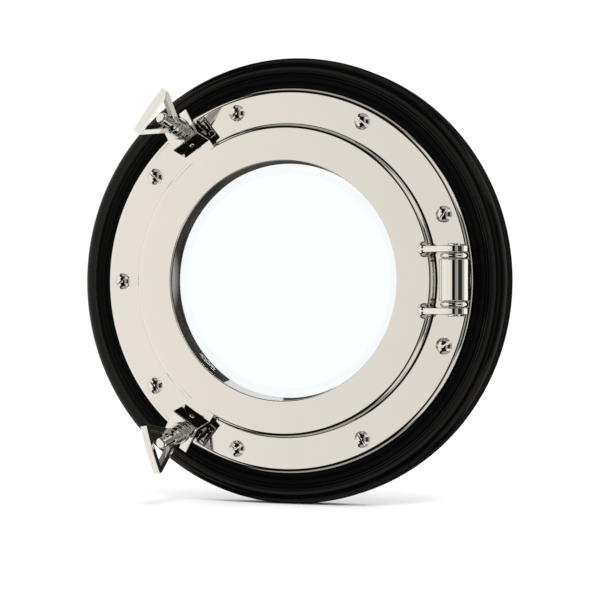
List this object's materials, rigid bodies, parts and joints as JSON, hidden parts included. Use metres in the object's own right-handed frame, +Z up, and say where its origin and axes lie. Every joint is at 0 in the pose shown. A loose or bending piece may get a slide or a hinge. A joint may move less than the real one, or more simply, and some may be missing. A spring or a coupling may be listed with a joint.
{
  "type": "round window",
  "caption": "Round ship's window: a hinged, glazed door in a plated flange on a black turned ring, held shut by swing bolts with wing nuts.",
  "frame": {"origin": "centre of the backing ring's wall face, on the window's axis", "axes": "+Y along the spigot into the wall, -Y towards the room, +X towards the hinge, +Z up"},
  "size_m": [0.38, 0.1187, 0.38],
  "materials": {
    "ring_lacquer": "black gloss lacquer on turned wood",
    "plated_metal": "polished nickel plate",
    "pane": "clear glass with a wide bevel",
    "seal_rubber": "black rubber"
  },
  "bodies": {
    "frame": {"wood_ring": "ring_lacquer", "flange": "plated_metal", "flange_screws": "plated_metal", "hinge_pin": "plated_metal", "hinge_washers": "plated_metal", "dog_pin_upper": "plated_metal", "dog_pin_nut_upper": "plated_metal", "dog_pin_lower": "plated_metal", "dog_pin_nut_lower": "plated_metal"},
    "door": {"door_frame": "plated_metal", "door_seal": "seal_rubber", "glass": "pane", "glass_gasket": "seal_rubber", "retaining_ring": "plated_metal", "retaining_screws": "plated_metal"},
    "bolt_upper": {"swing_bolt_upper": "plated_metal"},
    "washer_upper": {"dog_washer_upper": "plated_metal"},
    "nut_upper": {"wing_nut_upper": "plated_metal"},
    "bolt_lower": {"swing_bolt_lower": "plated_metal"},
    "washer_lower": {"dog_washer_lower": "plated_metal"},
    "nut_lower": {"wing_nut_lower": "plated_metal"}
  },
  "joints": [
    {"name": "door_swing", "type": "hinge", "parent": "frame", "child": "door", "pos_m": [0.1515, -0.045, 0], "axis": [0, 0, 1], "range_deg": [0, 110]},
    {"name": "bolt_upper_swing", "type": "hinge", "parent": "frame", "child": "bolt_upper", "pos_m": [-0.08481, -0.041, 0.12574], "axis": [-0.829, 0, -0.5592], "range_deg": [0, 75]},
    {"name": "nut_upper_travel", "type": "slide", "parent": "bolt_upper", "child": "washer_upper", "axis": [-0.1728, -0.9511, 0.2562], "range_m": [0, 0.016]},
    {"name": "nut_upper_spin", "type": "hinge", "parent": "washer_upper", "child": "nut_upper", "pos_m": [-0.08481, -0.041, 0.12574], "axis": [-0.1728, -0.9511, 0.2562], "continuous": true},
    {"name": "bolt_lower_swing", "type": "hinge", "parent": "frame", "child": "bolt_lower", "pos_m": [-0.08481, -0.041, -0.12574], "axis": [0.829, 0, -0.5592], "range_deg": [0, 75]},
    {"name": "nut_lower_travel", "type": "slide", "parent": "bolt_lower", "child": "washer_lower", "axis": [-0.1728, -0.9511, -0.2562], "range_m": [0, 0.016]},
    {"name": "nut_lower_spin", "type": "hinge", "parent": "washer_lower", "child": "nut_lower", "pos_m": [-0.08481, -0.041, -0.12574], "axis": [-0.1728, -0.9511, -0.2562], "continuous": true}
  ],
  "couplings": [
    {"joint": "nut_upper_travel", "follows": "bolt_upper_swing", "m_per_rad": 0.0118},
    {"joint": "nut_lower_travel", "follows": "bolt_lower_swing", "m_per_rad": 0.0118}
  ]
}
